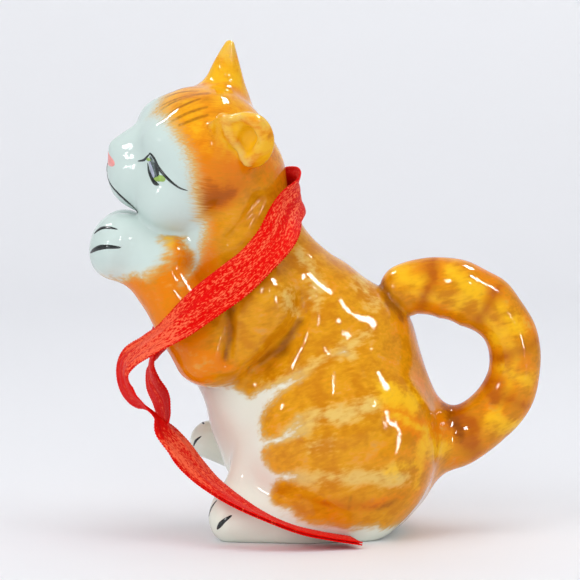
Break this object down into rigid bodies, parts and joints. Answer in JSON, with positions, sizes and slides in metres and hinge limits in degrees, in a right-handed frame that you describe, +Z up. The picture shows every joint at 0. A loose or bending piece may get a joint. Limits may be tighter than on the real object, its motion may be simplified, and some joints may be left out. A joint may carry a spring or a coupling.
{
  "type": "cat ornament",
  "caption": "Glazed porcelain kitten ornament that sits up with raised forepaws and a curled tail, with a satin hanging ribbon round its neck.",
  "frame": {"origin": "on the flat base that the kitten stands on, below its chest", "axes": "+Z up, -X the way the kitten's body faces, -Y its left side"},
  "size_m": [0.0717, 0.039, 0.079],
  "materials": {
    "glazed_porcelain": "gloss",
    "satin_ribbon": "satin"
  },
  "bodies": {
    "root": {"body_shell": "glazed_porcelain", "head_shell": "glazed_porcelain", "left_ear": "glazed_porcelain", "right_ear": "glazed_porcelain", "left_foreleg": "glazed_porcelain", "right_foreleg": "glazed_porcelain", "left_haunch": "glazed_porcelain", "right_haunch": "glazed_porcelain", "left_hind_foot": "glazed_porcelain", "right_hind_foot": "glazed_porcelain", "tail": "glazed_porcelain", "ribbon_left_strand": "satin_ribbon", "ribbon_right_strand": "satin_ribbon"}
  },
  "joints": []
}
